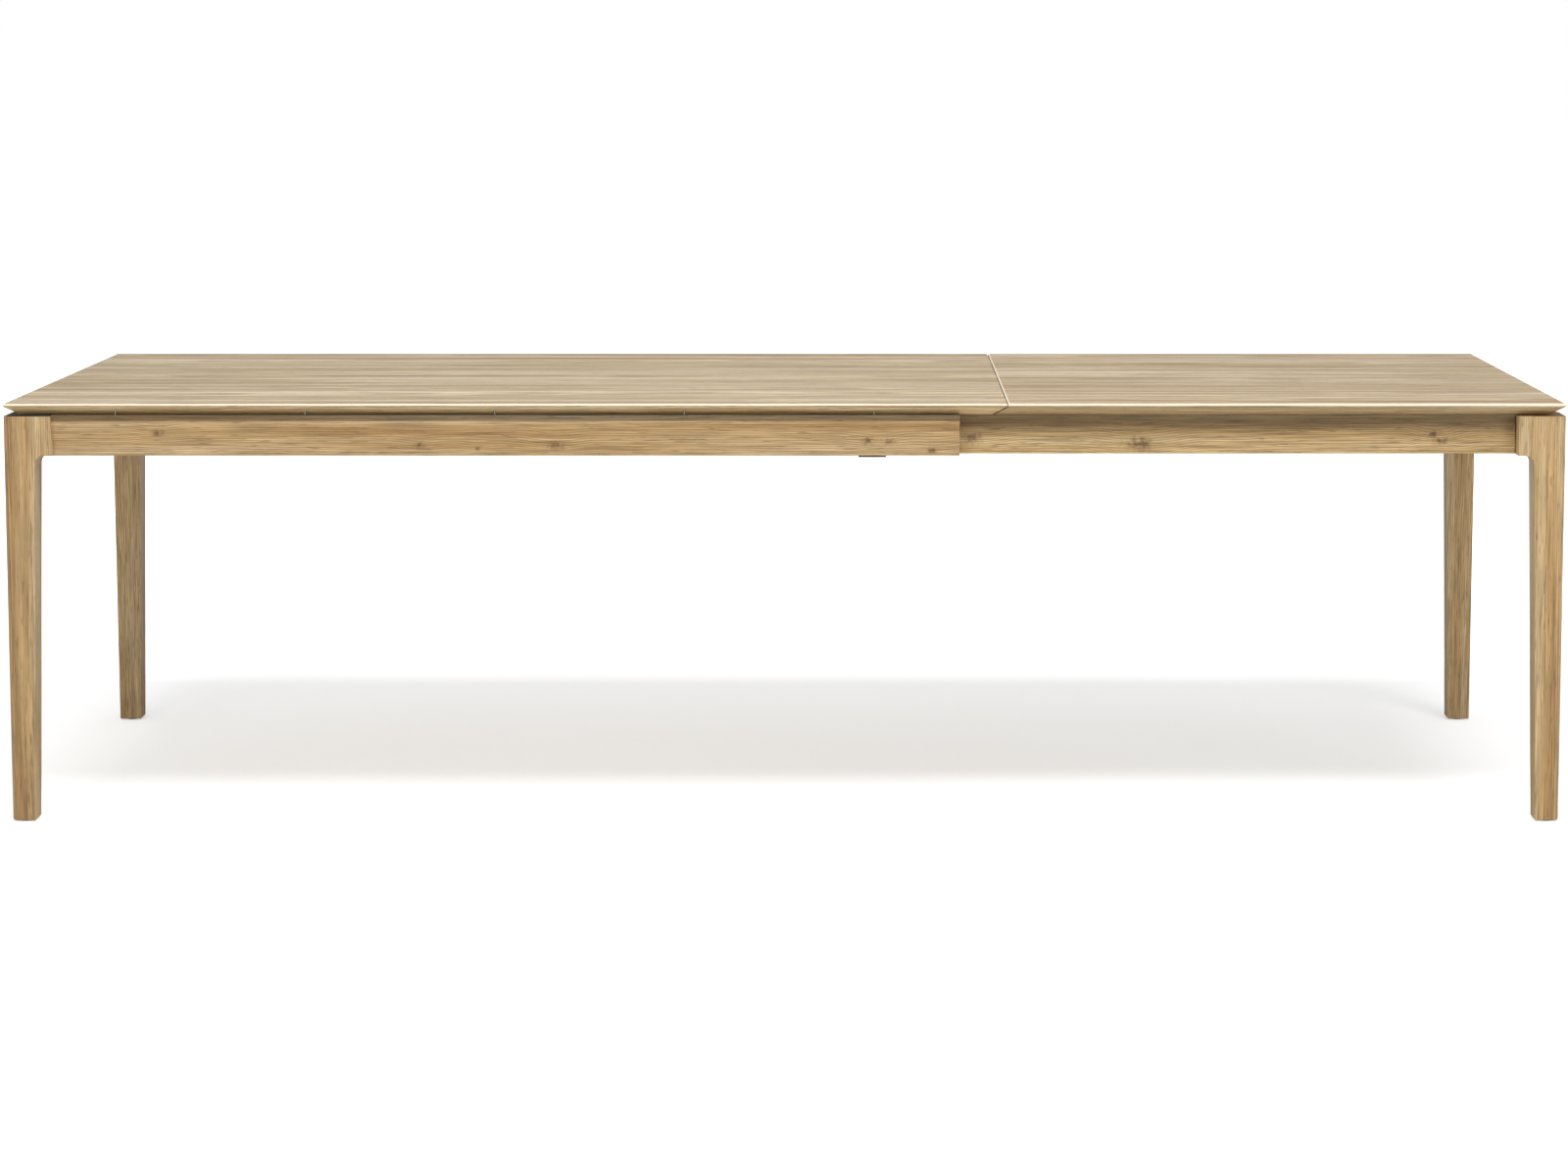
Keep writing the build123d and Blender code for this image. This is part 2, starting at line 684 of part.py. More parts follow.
def build_fixed_frame():
    plain_leg = soften_leg(leg(leg_rake))
    save(main_top(), "main_top")
    save(steel_channels(main_channels), "top_stiffeners")
    save(channel_screws(main_channels), "top_stiffener_screws")
    save(end_rail(-1), "end_apron_left")
    save_group([top_clip(y) for y in clip_y], "top_clips")
    save_group([screw_up(x_clip, y, z_under - clip_gauge, short_grip) for y in clip_y], "top_clip_screws")
    save(tie_bar(), "tie_bar")
    save_group(both_sides(tie_screws), "tie_bar_screws")
    save_group(both_sides(plate_bolts), "leg_bolts_left")
    save_group(both_sides(left_dowels), "dowels_left")
    save_group(both_sides(plate_screw_set), "leg_plate_screws")
    save_group(both_sides(rail_screws), "apron_screws")
    save_group(both_sides(runner_screws), "runner_screws")
    save_group(both_sides(runner_stops), "runner_stops")
    save_group([tongue_pivot(s) for _, s in sides()], "leaf_tongue_pivots")
    for name, s in sides():
        standing = place_leg(plain_leg, x_left, s * y_face)
        holes = sockets(left_dowels(s)) + [glide_socket(x_left, s * y_face)]
        bore = bolt_radius + hole_play
        holes += [peg(x, y, z_leg_top - 60.5, z_leg_top + 1.0, bore) for x, y in plate_bolt_places(s)]
        save(standing - holes, "leg_" + name + "_left")
        save(foot_glide(x_left, s * y_face), "foot_glide_" + name + "_left")
        save(leg_plate(s), "leg_plate_" + name)
        save(outer_rail(s), "outer_apron_" + name)
        save(guide_strip(s), "guide_strip_" + name)
        save(slip_pad(s), "slip_pad_" + name)
        save(runner(s), "runner_" + name)


def build_end_frame():
    plain_leg = soften_leg(leg())
    save(end_rail(1), "end_apron_right")
    save(cross_rail(cross_x[0]), "cross_rail_inner")
    save(cross_rail(cross_x[1]), "cross_rail_middle")
    save_group(both_sides(cross_brackets), "cross_rail_brackets")
    save_group(both_sides(cross_screws), "cross_rail_screws")
    save_group(both_sides(right_dowels), "dowels_right")
    save_group([corner_bolt(s) for _, s in sides()], "corner_bolts")
    save_group(both_sides(corner_nut), "corner_nuts")
    save_group(both_sides(shoe_screws), "runner_shoe_screws")
    for name, s in sides():
        standing = place_leg(plain_leg, x_right, s * y_face)
        holes = sockets(right_dowels(s)) + [glide_socket(x_right, s * y_face)]
        holes.append(corner_bolt(s, grow=hole_play))
        save(standing - holes, "leg_" + name + "_right")
        save(foot_glide(x_right, s * y_face), "foot_glide_" + name + "_right")
        save(inner_rail(s), "inner_apron_" + name)
        save(corner_block(s), "corner_block_" + name)
        save(runner_shoe(s), "runner_shoe_" + name)


def build_leaf():
    save(extension_leaf(), "extension_leaf")
    save(steel_channels(leaf_channels), "leaf_stiffeners")
    save(channel_screws(leaf_channels), "leaf_stiffener_screws")
    save_group(leaf_buffers(), "leaf_buffers")
    for name, s in sides():
        save(tongue(s), "leaf_tongue_" + name)


os.makedirs("parts", exist_ok=True)
build_fixed_frame()
build_end_frame()
build_leaf()
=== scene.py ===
import json
import math

import bmesh
import bpy
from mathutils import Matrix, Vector


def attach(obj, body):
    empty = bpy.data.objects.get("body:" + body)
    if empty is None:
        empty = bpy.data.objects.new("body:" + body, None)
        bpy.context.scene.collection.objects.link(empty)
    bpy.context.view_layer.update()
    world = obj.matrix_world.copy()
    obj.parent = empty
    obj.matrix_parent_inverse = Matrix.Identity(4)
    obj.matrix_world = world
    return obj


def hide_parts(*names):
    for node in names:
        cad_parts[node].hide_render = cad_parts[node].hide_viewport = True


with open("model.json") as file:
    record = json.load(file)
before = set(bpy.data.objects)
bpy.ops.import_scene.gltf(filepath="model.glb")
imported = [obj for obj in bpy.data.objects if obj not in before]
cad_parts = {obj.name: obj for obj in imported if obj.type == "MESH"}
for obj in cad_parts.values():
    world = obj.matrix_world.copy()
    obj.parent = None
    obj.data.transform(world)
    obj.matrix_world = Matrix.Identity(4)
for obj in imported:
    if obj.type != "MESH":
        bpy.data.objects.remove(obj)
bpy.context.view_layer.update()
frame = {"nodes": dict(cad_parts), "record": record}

nodes = frame["nodes"]
slotOf = {part["node"]: part["material_slot"] for part in frame["record"]["subparts"]}
print("frame loaded:", len(nodes), "nodes")


def linear(hexColour):
    channels = [int(hexColour[i:i + 2], 16) / 255 for i in (1, 3, 5)]
    return [c / 12.92 if c <= 0.04045 else ((c + 0.055) / 1.055) ** 2.4 for c in channels] + [1.0]


def addNode(tree, kind, settings=None, inputs=None):
    # an input is a value or another node's output, under its socket's name or number: a colour Mix takes
    # 0 factor, 6 and 7 colours and gives 2, and a Map Range takes 0 value, 1 and 2 from, 3 and 4 to
    node = tree.nodes.new(kind)
    for key, value in (settings or {}).items():
        setattr(node, key, value)
    for socket, value in (inputs or {}).items():
        if isinstance(value, bpy.types.NodeSocket):
            tree.links.new(value, node.inputs[socket])
        else:
            node.inputs[socket].default_value = value
    return node


def newMaterial(name):
    material = bpy.data.materials.new(name)
    material.use_nodes = True
    material.node_tree.nodes.clear()
    return material, material.node_tree


def finishShader(tree, inputs):
    shader = addNode(tree, "ShaderNodeBsdfPrincipled", {}, inputs)
    addNode(tree, "ShaderNodeOutputMaterial", {}, {"Surface": shader.outputs[0]})


# Oiled European oak, planed and sanded: warm tan with paler and greyer streaks, growth lines that run along
# the board and bend round a few small knots, short dark pores, and a low satin gloss. The other looks below
# change only what differs from it. Waves are for each metre, and places are in metres.
oak = {
    "pale": "#e0c598",
    "body": "#d0ad77",
    "warm": "#b38750",
    "late": "#86633a",       # latewood lines
    "pore": "#5d4429",
    "knotRim": "#94724a",
    # painted highlight on the eased upper edges
    "knotHeart": "#4f3722",
    "edge": "#fbeed6",       # sanded edges show pale fresh wood
    "boardWidth": 0.0,       # mm, 0 for a piece cut from one board
    "ringGap": 3.4,          # mm, real growth rings are 2 to 3, drawn coarser so that they show
    "ringRise": (0.25, 0.86),  # where in a ring the late wood starts and is darkest
    "ringStrength": 0.50,
    "taper": 0.012,          # how fast the rings climb along the board, which makes the long arches
    "warp": 6.0,             # mm, slow wander of the rings
    "warpWaves": ((1.1, 7.0, 1.0), (7.0, 60.0, 0.12)),  # per metre along and across, and share of the warp
    "streakWidth": 28.0,     # mm across one paler or darker streak
    "streakWaves": 0.8,      # per metre along the grain
    "streakStops": (0.32, 0.52, 0.70),  # where the pale, body and warm tones sit
    "fibreWidth": 2.4,       # mm, real fibre bundles are under 1, drawn coarser so that they show
    "fibreWaves": 8.0,       # per metre along the grain
    "fibreStrength": 0.48,
    "poreWaves": (28.0, 420.0),  # per metre along and across, real pores are ten times finer
    "poreRange": (0.60, 0.72),   # how much of the noise counts as a pore
    "poreStrength": 0.50,
    "knots": [],             # x, y, z and size in mm
    "knotLength": 1.9,       # a knot is this much longer than high
    "knotDepth": 30.0,       # and goes this far through the rail
    "knotRagged": 0.9,
    "knotCore": (1.35, -0.2, 0.9),  # where its tone starts and is full, and how strong it is
    "knotBulge": (5.0, 0.0006),  # how far out the rings bend, and how much for each mm of its size
    "paintedShadeBand": None,         # painted shade: a rail darkened close under the panel, where the panel's overhang shades it: from, to, how dark
    "paintedRimHighlight": 0.0,        # how pale the painted highlight on the rim of a panel is
    "tint": (0.82, 0.94),    # how much one board or rail is darker than the next
    "roughness": 0.46,
    "bump": 0.06,            # mm
}

panelLook = dict(
    oak, grain="XYZ", boardWidth=125.0, heart=(0.0, 0.66), seed=3.0,
    pale="#ecdec3", body="#cdb792", warm="#a58559", tint=(0.92, 1.05),
    ringStrength=0.42, streakWidth=27.0, fibreStrength=0.40,
    boardDrift=0.07,             # m, how far a board's middle lies to one side of the heart
    boardDepth=(0.03, 0.16),     # m, how far under the board the heart lies
    paintedRimHighlight=0.95, rimWidth=3.6, rimHeights=(0.7562, 0.7575), ends=(-1.3985, 0.42), sides=0.4985,
    paintedUnderShading=1.33, paintedUnderWarmth=(1.0, 0.94, 0.78), underTilt=(-0.3, -0.6),  # painted light and shade on the underside and its bevels
    paintedLipShade=0.74, lipTilt=(0.15, 0.45),                                     # painted shade on the upright lip
    seam=(0.3994, 0.755, 1.5625), seamWidth=(0.0014, 0.0032), seamShadeStrength=0.85)
# the leaf's underside and bevels get painted shade, where the fixed top's get painted light
leafLook = dict(panelLook, seed=11.0, ends=(0.4003, 1.3985), paintedUnderShading=0.84)
railLook = dict(
    oak, grain="XZY", heart=(0.60, 0.55), seed=5.0, paintedShadeBand=(0.7265, 0.7305, 0.40),
    knots=[(-1.123, -0.493, 0.706, 8.0), (-0.654, -0.493, 0.685, 7.0), (-0.550, -0.493, 0.680, 5.0),
           (-0.411, -0.493, 0.685, 10.0), (0.150, -0.493, 0.693, 8.0), (0.188, -0.493, 0.691, 7.0),
           (0.264, -0.493, 0.677, 8.0), (-0.86, 0.493, 0.70, 8.0), (0.02, 0.493, 0.69, 9.0)])
innerRailLook = dict(
    railLook, seed=8.0, heart=(0.62, 0.52), paintedShadeBand=(0.694, 0.728, 0.44), pale="#dcc08e", body="#cba76c",
    knots=[(0.338, -0.471, 0.696, 12.0), (0.640, -0.471, 0.684, 15.0), (1.165, -0.471, 0.702, 8.0),
           (1.178, -0.471, 0.690, 9.0), (0.81, 0.471, 0.70, 11.0)])
endRailLook = dict(railLook, grain="YZX", heart=(0.61, 1.45), seed=13.0,
                   knots=[(-1.393, 0.11, 0.70, 5.0), (1.393, -0.16, 0.69, 6.0)])
crossRailLook = dict(endRailLook, seed=21.0, heart=(0.63, 0.40), knots=[])
legLook = dict(oak, grain="ZXY", heart=(1.47, 0.56), seed=17.0, ringGap=3.0, warp=5.0, streakWidth=34.0,
               ringStrength=0.42)


def boardCells(tree, place, look):
    # three random draws for each board of a panel, or for each rail or leg, from the cell that it stands in;
    # the cells start 5 m to one side, so that none of them ends halfway along a board
    width = look["boardWidth"] / 1000 or 10.0
    aside = {"X": (5.0, 0.0, 5.0), "Y": (0.0, 5.0, 5.0), "Z": (0.0, 0.0, 5.0)}[look["grain"][0]]
    cell = addNode(tree, "ShaderNodeVectorMath", {"operation": "ADD"}, {0: place, 1: aside}).outputs[0]
    cell = addNode(tree, "ShaderNodeVectorMath", {"operation": "DIVIDE"},
                   {0: cell, 1: (10.0, width, 10.0)}).outputs[0]
    cell = addNode(tree, "ShaderNodeVectorMath", {"operation": "FLOOR"}, {0: cell}).outputs[0]
    cell = addNode(tree, "ShaderNodeVectorMath", {"operation": "ADD"},
                   {0: cell, 1: (look["seed"],) * 3}).outputs[0]
    return addNode(tree, "ShaderNodeTexWhiteNoise", {"noise_dimensions": "3D"},
                   {"Vector": cell}).outputs["Color"]


def heartDistance(tree, axes, foldedAxes, shifted, draws, look):
    # distance from the heart of the log, in metres, with the log's taper and a slow and a quick wander
    along, across, deep = [axes[letter] for letter in look["grain"]]
    if look["boardWidth"]:
        width = look["boardWidth"] / 1000
        board = addNode(tree, "ShaderNodeMath", {"operation": "WRAP"},
                        {0: across, 1: width, 2: 0.0}).outputs[0]
        side = addNode(tree, "ShaderNodeMath", {"operation": "SUBTRACT"},
                       {0: board, 1: width / 2}).outputs[0]
        drift = addNode(tree, "ShaderNodeMapRange", {}, {0: draws["X"], 3: -look["boardDrift"],
                                                        4: look["boardDrift"]}).outputs[0]
        side = addNode(tree, "ShaderNodeMath", {"operation": "ADD"}, {0: side, 1: drift}).outputs[0]
        low = addNode(tree, "ShaderNodeMapRange", {}, {0: draws["Y"], 3: look["boardDepth"][0],
                                                      4: look["boardDepth"][1]}).outputs[0]
        height = addNode(tree, "ShaderNodeMath", {"operation": "SUBTRACT"},
                         {0: deep, 1: look["heart"][1]}).outputs[0]
        height = addNode(tree, "ShaderNodeMath", {"operation": "ADD"}, {0: height, 1: low}).outputs[0]
    else:
        side, height = [
            addNode(tree, "ShaderNodeMath", {"operation": "SUBTRACT"},
                    {0: foldedAxes[letter], 1: middle}).outputs[0]
            for letter, middle in zip(look["grain"][1:], look["heart"])]
    fromHeart = addNode(tree, "ShaderNodeCombineXYZ", {}, {1: side, 2: height}).outputs[0]
    radius = addNode(tree, "ShaderNodeVectorMath", {"operation": "LENGTH"}, {0: fromHeart}).outputs["Value"]
    climb = addNode(tree, "ShaderNodeMapRange", {},
                    {0: draws["Z"], 3: -look["taper"], 4: look["taper"]}).outputs[0]
    climb = addNode(tree, "ShaderNodeMath", {"operation": "MULTIPLY"}, {0: climb, 1: along}).outputs[0]
    radius = addNode(tree, "ShaderNodeMath", {"operation": "ADD"}, {0: radius, 1: climb}).outputs[0]
    for lengthways, sideways, share in look["warpWaves"]:
        size = look["warp"] / 1000 * share
        slow = addNode(tree, "ShaderNodeVectorMath", {"operation": "MULTIPLY"},
                       {0: shifted, 1: (lengthways, sideways, sideways)}).outputs[0]
        slow = addNode(tree, "ShaderNodeTexNoise", {},
                       {"Vector": slow, "Scale": 1.0, "Detail": 1.0}).outputs[0]
        wander = addNode(tree, "ShaderNodeMapRange", {}, {0: slow, 3: -size, 4: size}).outputs[0]
        radius = addNode(tree, "ShaderNodeMath", {"operation": "ADD"}, {0: radius, 1: wander}).outputs[0]
    return radius


def addKnots(tree, place, radius, look):
    # the rings bulge round each knot, and its heart is dark and ragged
    if not look["knots"]:
        return radius, None
    knotTone = None
    rough = addNode(tree, "ShaderNodeTexNoise", {},
                    {"Vector": place, "Scale": 130.0, "Detail": 2.0}).outputs[0]
    rough = addNode(tree, "ShaderNodeMapRange", {}, {0: rough, 3: -look["knotRagged"],
                                                    4: look["knotRagged"]}).outputs[0]
    bendReach, bendSize = look["knotBulge"]
    edge, core, full = look["knotCore"]
    for x, y, z, size in look["knots"]:
        long, through = look["knotLength"] / 1000, look["knotDepth"] / 1000
        reach = {"X": (long, through, 0.001), "Y": (through, long, 0.001)}[look["grain"][0]]
        spot = addNode(tree, "ShaderNodeVectorMath", {"operation": "SUBTRACT"},
                       {0: place, 1: (x, y, z)}).outputs[0]
        spot = addNode(tree, "ShaderNodeVectorMath", {"operation": "MULTIPLY"},
                       {0: spot, 1: [1 / (size * half) for half in reach]}).outputs[0]
        away = addNode(tree, "ShaderNodeVectorMath", {"operation": "LENGTH"}, {0: spot}).outputs["Value"]
        bulge = addNode(tree, "ShaderNodeMapRange", {"interpolation_type": "SMOOTHERSTEP"},
                        {0: away, 1: 0.0, 2: bendReach, 3: size * bendSize, 4: 0.0}).outputs[0]
        radius = addNode(tree, "ShaderNodeMath", {"operation": "ADD"}, {0: radius, 1: bulge}).outputs[0]
        ragged = addNode(tree, "ShaderNodeMath", {"operation": "ADD"}, {0: away, 1: rough}).outputs[0]
        tone = addNode(tree, "ShaderNodeMapRange", {"interpolation_type": "SMOOTHSTEP"},
                       {0: ragged, 1: edge, 2: core, 3: 0.0, 4: full}).outputs[0]
        if knotTone is None:
            knotTone = tone
        else:
            knotTone = addNode(tree, "ShaderNodeMath", {"operation": "MAXIMUM"},
                               {0: knotTone, 1: tone}).outputs[0]
    return radius, knotTone


def panelTones(tree, axes, foldedAxes, colour, look):
    # painted light and shade: the undersides and their bevels, picked out by facing down, are painted warmer than
    # the faces, lighter on the fixed top and darker on the leaf
    facing = addNode(tree, "ShaderNodeNewGeometry").outputs["Normal"]
    up = addNode(tree, "ShaderNodeSeparateXYZ", {}, {0: facing}).outputs["Z"]
    tiltFrom, tiltTo = look["underTilt"]
    under = addNode(tree, "ShaderNodeMapRange", {}, {0: up, 1: tiltFrom, 2: tiltTo, 3: 0.0, 4: 1.0}).outputs[0]
    gain = [look["paintedUnderShading"] * share for share in look["paintedUnderWarmth"]]
    paintedUnder = addNode(tree, "ShaderNodeVectorMath", {"operation": "MULTIPLY"},
                     {0: colour, 1: gain}).outputs[0]
    colour = addNode(tree, "ShaderNodeMix", {"data_type": "RGBA"},
                     {0: under, 6: colour, 7: paintedUnder}).outputs[2]

    # painted shade: the upright lip and the ends, picked out by facing sideways, are painted darker than the faces
    level = addNode(tree, "ShaderNodeMath", {"operation": "ABSOLUTE"}, {0: up}).outputs[0]
    lip = addNode(tree, "ShaderNodeMapRange", {}, {0: level, 1: look["lipTilt"][0], 2: look["lipTilt"][1],
                                                  3: look["paintedLipShade"], 4: 1.0}).outputs[0]
    colour = addNode(tree, "ShaderNodeVectorMath", {"operation": "SCALE"},
                     {0: colour, "Scale": lip}).outputs[0]

    # painted shade: a dark line where the leaf's lip meets the main top's bevel, in place of the shadow in the gap
    # between them
    seamX, seamZ, seamRun = look["seam"]  # its upper point, and how far it runs along X for each metre down
    fallen = addNode(tree, "ShaderNodeMath", {"operation": "SUBTRACT"}, {0: seamZ, 1: axes["Z"]}).outputs[0]
    inwards = addNode(tree, "ShaderNodeMath", {"operation": "MULTIPLY_ADD"},
                      {0: fallen, 1: seamRun, 2: axes["X"]}).outputs[0]
    off = addNode(tree, "ShaderNodeMath", {"operation": "SUBTRACT"}, {0: inwards, 1: seamX}).outputs[0]
    off = addNode(tree, "ShaderNodeMath", {"operation": "ABSOLUTE"}, {0: off}).outputs[0]
    line = addNode(tree, "ShaderNodeMapRange", {"interpolation_type": "SMOOTHSTEP"},
                   {0: off, 1: look["seamWidth"][0], 2: look["seamWidth"][1], 3: 1.0, 4: 0.0}).outputs[0]
    below = addNode(tree, "ShaderNodeMapRange", {}, {0: fallen, 1: 0.0, 2: 0.001, 3: 0.0,
                                                    4: look["seamShadeStrength"]}).outputs[0]
    line = addNode(tree, "ShaderNodeMath", {"operation": "MULTIPLY"}, {0: line, 1: below}).outputs[0]
    colour = addNode(tree, "ShaderNodeMix", {"data_type": "RGBA"},
                     {0: line, 6: colour, 7: linear(look["knotHeart"])}).outputs[2]

    # painted highlight: a narrow rim along the eased upper edges of the panel is painted paler, where the rounded
    # arris catches the light
    xLow, xHigh = look["ends"]
    soft = look["rimWidth"] / 1000
    toEnd = addNode(tree, "ShaderNodeMath", {"operation": "SUBTRACT"},
                    {0: axes["X"], 1: (xLow + xHigh) / 2}).outputs[0]
    toEnd = addNode(tree, "ShaderNodeMath", {"operation": "ABSOLUTE"}, {0: toEnd}).outputs[0]
    toEnd = addNode(tree, "ShaderNodeMath", {"operation": "SUBTRACT"},
                    {0: toEnd, 1: (xHigh - xLow) / 2}).outputs[0]
    toSide = addNode(tree, "ShaderNodeMath", {"operation": "SUBTRACT"},
                     {0: foldedAxes["Y"], 1: look["sides"]}).outputs[0]
    inside = addNode(tree, "ShaderNodeMath", {"operation": "MAXIMUM"}, {0: toEnd, 1: toSide}).outputs[0]
    rim = addNode(tree, "ShaderNodeMapRange", {"interpolation_type": "SMOOTHSTEP"},
                  {0: inside, 1: -soft, 2: -soft * 0.4, 3: 0.0, 4: 1.0}).outputs[0]
    rimFrom, rimTo = look["rimHeights"]
    near = addNode(tree, "ShaderNodeMapRange", {}, {0: axes["Z"], 1: rimFrom, 2: rimTo, 3: 0.0, 4: 1.0}).outputs[0]
    rim = addNode(tree, "ShaderNodeMath", {"operation": "MULTIPLY"}, {0: rim, 1: near}).outputs[0]
    rim = addNode(tree, "ShaderNodeMath", {"operation": "MULTIPLY"},
                  {0: rim, 1: look["paintedRimHighlight"]}).outputs[0]
    return addNode(tree, "ShaderNodeMix", {"data_type": "RGBA"},
                   {0: rim, 6: colour, 7: linear(look["edge"])}).outputs[2]


def oakMaterial(name, look):
    material, tree = newMaterial(name)
    place = addNode(tree, "ShaderNodeTexCoord").outputs["Object"]
    axes = addNode(tree, "ShaderNodeSeparateXYZ", {}, {0: place}).outputs
    folded = addNode(tree, "ShaderNodeVectorMath", {"operation": "ABSOLUTE"}, {0: place}).outputs[0]
    foldedAxes = addNode(tree, "ShaderNodeSeparateXYZ", {}, {0: folded}).outputs
    along, across, deep = [axes[letter] for letter in look["grain"]]
    grainPlace = addNode(tree, "ShaderNodeCombineXYZ", {}, {0: along, 1: across, 2: deep}).outputs[0]
    drawn = boardCells(tree, place, look)
    draws = addNode(tree, "ShaderNodeSeparateXYZ", {}, {0: drawn}).outputs
    shift = addNode(tree, "ShaderNodeVectorMath", {"operation": "SCALE"},
                    {0: drawn, "Scale": 9.0}).outputs[0]
    shifted = addNode(tree, "ShaderNodeVectorMath", {"operation": "ADD"},
                      {0: grainPlace, 1: shift}).outputs[0]
    radius = heartDistance(tree, axes, foldedAxes, shifted, draws, look)
    radius, knotTone = addKnots(tree, place, radius, look)

    # growth rings, pale early wood that darkens into a sharp late line
    rings = addNode(tree, "ShaderNodeMath", {"operation": "DIVIDE"},
                    {0: radius, 1: look["ringGap"] / 1000}).outputs[0]
    rings = addNode(tree, "ShaderNodeMath", {"operation": "FRACT"}, {0: rings}).outputs[0]
    ringTone = addNode(tree, "ShaderNodeValToRGB", {}, {0: rings})
    for element, position, level in zip(ringTone.color_ramp.elements, look["ringRise"], (0, 1)):
        element.position = position
        element.color = (level, level, level, 1)
    ringTone.color_ramp.elements.new(1.0).color = (0, 0, 0, 1)

    # wide streaks of colour, fine fibres and pores, all far longer than they are wide
    scale = 1000 / look["streakWidth"]
    wide = addNode(tree, "ShaderNodeVectorMath", {"operation": "MULTIPLY"},
                   {0: shifted, 1: (look["streakWaves"], scale, scale)}).outputs[0]
    wide = addNode(tree, "ShaderNodeTexNoise", {}, {"Vector": wide, "Scale": 1.0, "Detail": 4.0,
                                                   "Roughness": 0.62}).outputs[0]
    tone = addNode(tree, "ShaderNodeValToRGB", {}, {0: wide})
    paleStop, bodyStop, warmStop = look["streakStops"]
    for element, stop, shade in zip(tone.color_ramp.elements, (paleStop, warmStop), ("pale", "warm")):
        element.position = stop
        element.color = linear(look[shade])
    tone.color_ramp.elements.new(bodyStop).color = linear(look["body"])
    scale = 1000 / look["fibreWidth"]
    fine = addNode(tree, "ShaderNodeVectorMath", {"operation": "MULTIPLY"},
                   {0: shifted, 1: (look["fibreWaves"], scale, scale)}).outputs[0]
    fine = addNode(tree, "ShaderNodeTexNoise", {}, {"Vector": fine, "Scale": 1.0, "Detail": 3.0,
                                                   "Roughness": 0.6}).outputs[0]
    lengthways, sideways = look["poreWaves"]
    pores = addNode(tree, "ShaderNodeVectorMath", {"operation": "MULTIPLY"},
                    {0: shifted, 1: (lengthways, sideways, sideways)}).outputs[0]
    pores = addNode(tree, "ShaderNodeTexNoise", {},
                    {"Vector": pores, "Scale": 1.0, "Detail": 1.0}).outputs[0]
    pores = addNode(tree, "ShaderNodeMapRange", {"interpolation_type": "SMOOTHSTEP"},
                    {0: pores, 1: look["poreRange"][0], 2: look["poreRange"][1], 3: 0.0, 4: 1.0}).outputs[0]

    # colour, built up from the streaks
    rings = addNode(tree, "ShaderNodeMath", {"operation": "MULTIPLY"},
                    {0: ringTone.outputs[0], 1: look["ringStrength"]}).outputs[0]
    colour = addNode(tree, "ShaderNodeMix", {"data_type": "RGBA"},
                     {0: rings, 6: tone.outputs[0], 7: linear(look["late"])}).outputs[2]
    grey = addNode(tree, "ShaderNodeMapRange", {}, {0: fine, 1: 0.3, 2: 0.7, 3: 1.0 - look["fibreStrength"],
                                                   4: 1.0 + look["fibreStrength"] * 0.6}).outputs[0]
    tint = addNode(tree, "ShaderNodeMapRange", {},
                   {0: draws["Y"], 3: look["tint"][0], 4: look["tint"][1]}).outputs[0]
    grey = addNode(tree, "ShaderNodeMath", {"operation": "MULTIPLY"}, {0: grey, 1: tint}).outputs[0]
    colour = addNode(tree, "ShaderNodeVectorMath", {"operation": "SCALE"},
                     {0: colour, "Scale": grey}).outputs[0]
    dark = addNode(tree, "ShaderNodeMath", {"operation": "MULTIPLY"},
                   {0: pores, 1: look["poreStrength"]}).outputs[0]
    colour = addNode(tree, "ShaderNodeMix", {"data_type": "RGBA"},
                     {0: dark, 6: colour, 7: linear(look["pore"])}).outputs[2]
    if knotTone is not None:
        knotColour = addNode(tree, "ShaderNodeMix", {"data_type": "RGBA"},
                             {0: knotTone, 6: linear(look["knotRim"]), 7: linear(look["knotHeart"])}).outputs[2]
        colour = addNode(tree, "ShaderNodeMix", {"data_type": "RGBA"},
                         {0: knotTone, 6: colour, 7: knotColour}).outputs[2]
    # painted shade: the rail is darkened over a band of height just under the panel, where the panel's overhang
    # shades it
    if look["paintedShadeBand"]:
        bandLow, bandHigh, paintedShadeTone = look["paintedShadeBand"]
        paintedShade = addNode(tree, "ShaderNodeMapRange", {"interpolation_type": "SMOOTHSTEP"},
                       {0: axes["Z"], 1: bandLow, 2: bandHigh, 3: 1.0, 4: paintedShadeTone}).outputs[0]
        colour = addNode(tree, "ShaderNodeVectorMath", {"operation": "SCALE"},
                         {0: colour, "Scale": paintedShade}).outputs[0]
    if look["paintedRimHighlight"]:
        colour = panelTones(tree, axes, foldedAxes, colour, look)

    # the pores sit a touch lower than the fibres, and the fibres vary in gloss
    relief = addNode(tree, "ShaderNodeMath", {"operation": "SUBTRACT"}, {0: fine, 1: pores}).outputs[0]
    bump = addNode(tree, "ShaderNodeBump", {},
                   {"Height": relief, "Strength": 0.5, "Distance": look["bump"] / 1000})
    dull = addNode(tree, "ShaderNodeMapRange", {}, {0: fine, 1: 0.3, 2: 0.7, 3: look["roughness"] - 0.05,
                                                   4: look["roughness"] + 0.08}).outputs[0]
    finishShader(tree, {"Base Color": colour, "Roughness": dull, "IOR": 1.47, "Normal": bump.outputs[0]})
    return material


print("oak materials made")


